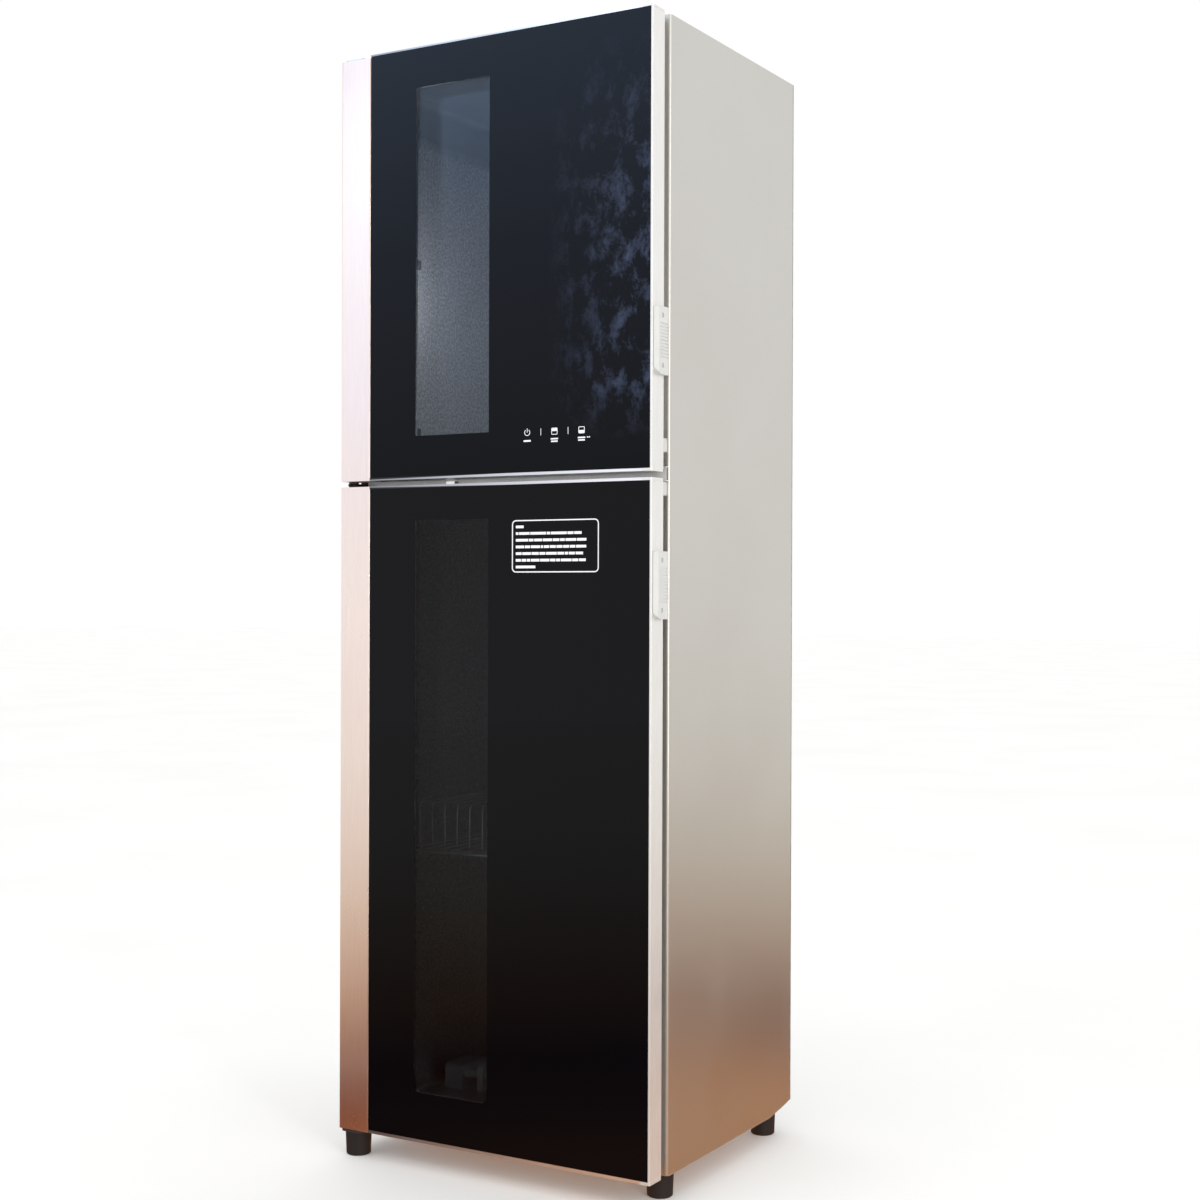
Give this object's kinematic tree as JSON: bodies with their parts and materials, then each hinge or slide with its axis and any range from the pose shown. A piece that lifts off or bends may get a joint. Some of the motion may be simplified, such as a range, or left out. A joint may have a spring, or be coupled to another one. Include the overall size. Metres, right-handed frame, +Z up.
{
  "type": "dish sterilizer cabinet",
  "caption": "Tall dish sterilizer cabinet with glass doors hinged on one side, wire racks in two chambers, a heated lower chamber and short feet.",
  "frame": {"origin": "on the floor, under the middle of the cabinet's footprint", "axes": "+Z up, -Y out of the doors, +X towards the handle side"},
  "size_m": [0.495, 0.4238, 1.507],
  "materials": {
    "side_paint": "champagne silver paint with a fine metallic grain",
    "rose_trim": "satin rose-gold anodised aluminium",
    "bright_aluminium": "bright satin aluminium",
    "front_glass": "black-backed tempered glass with a clear window",
    "clear_glass": "clear glass",
    "liner_steel": "bright mottled sheet",
    "galvanised": "zinc-coated sheet",
    "inner_sheet": "dark grey painted sheet",
    "gasket_rubber": "light grey soft seal",
    "black_rubber": "matt black",
    "grip_plastic": "off-white moulded plastic",
    "hinge_steel": "zinc-plated steel",
    "rack_wire": "chromed wire",
    "quartz": "frosted quartz",
    "ceramic": "white ceramic",
    "board": "green circuit board",
    "wool": "pale glass wool",
    "electric_box": "dark grey box"
  },
  "bodies": {
    "cabinet": {"side_panel_left": "side_paint", "side_panel_right": "side_paint", "rear_cover": "galvanised", "rear_cover_screws": "hinge_steel", "top_cover": "side_paint", "base_pan": "galvanised", "front_frame": "liner_steel", "centre_rail": "bright_aluminium", "upper_liner": "liner_steel", "lower_liner": "liner_steel", "insulation": "wool", "door_sensor": "grip_plastic", "door_catches": "grip_plastic", "top_hinge": "hinge_steel", "mid_hinge": "hinge_steel", "lower_hinge": "electric_box", "hinge_pins": "hinge_steel", "hinge_screws": "hinge_steel", "front_feet": "black_rubber", "rear_feet": "black_rubber", "foot_screws": "hinge_steel", "rack_pegs": "electric_box", "quartz_tubes": "quartz", "tube_caps": "ceramic", "heater_boxes": "liner_steel", "tube_clips": "ceramic", "reflector": "liner_steel", "lamp": "quartz", "lamp_holders": "ceramic", "lamp_guard": "liner_steel", "power_box": "electric_box", "thermostat": "hinge_steel", "cord_gland": "black_rubber"},
    "upper_door": {"upper_door_glass": "front_glass", "upper_door_trim": "rose_trim", "upper_door_stile": "bright_aluminium", "upper_door_rails": "bright_aluminium", "upper_door_inner_panel": "inner_sheet", "upper_door_inner_pane": "clear_glass", "upper_door_gasket": "gasket_rubber", "upper_door_handle": "grip_plastic", "upper_door_handle_screws": "hinge_steel", "upper_door_end_blocks": "grip_plastic", "upper_door_bushes": "ceramic", "touch_board": "board"},
    "lower_door": {"lower_door_glass": "front_glass", "lower_door_trim": "rose_trim", "lower_door_stile": "bright_aluminium", "lower_door_rails": "bright_aluminium", "lower_door_inner_panel": "inner_sheet", "lower_door_inner_pane": "clear_glass", "lower_door_gasket": "gasket_rubber", "lower_door_handle": "grip_plastic", "lower_door_handle_screws": "hinge_steel", "lower_door_end_blocks": "grip_plastic", "lower_door_bushes": "ceramic"},
    "upper_rack": {"upper_rack": "rack_wire"},
    "dish_rack": {"dish_rack": "rack_wire", "dish_rack_hoops": "rack_wire"},
    "drip_tray": {"drip_tray": "liner_steel"}
  },
  "joints": [
    {"name": "upper_door_hinge", "type": "hinge", "parent": "cabinet", "child": "upper_door", "pos_m": [-0.2355, -0.19225, 1.217], "axis": [0, 0, -1], "range_deg": [0, 110]},
    {"name": "lower_door_hinge", "type": "hinge", "parent": "cabinet", "child": "lower_door", "pos_m": [-0.2355, -0.19225, 0.478], "axis": [0, 0, -1], "range_deg": [0, 110]},
    {"name": "upper_rack_slide", "type": "slide", "parent": "cabinet", "child": "upper_rack", "axis": [0, -1, 0], "range_m": [0, 0.034]},
    {"name": "dish_rack_slide", "type": "slide", "parent": "cabinet", "child": "dish_rack", "axis": [0, -1, 0], "range_m": [0, 0.034]},
    {"name": "drip_tray_slide", "type": "slide", "parent": "cabinet", "child": "drip_tray", "axis": [0, -1, 0], "range_m": [0, 0.022]}
  ]
}
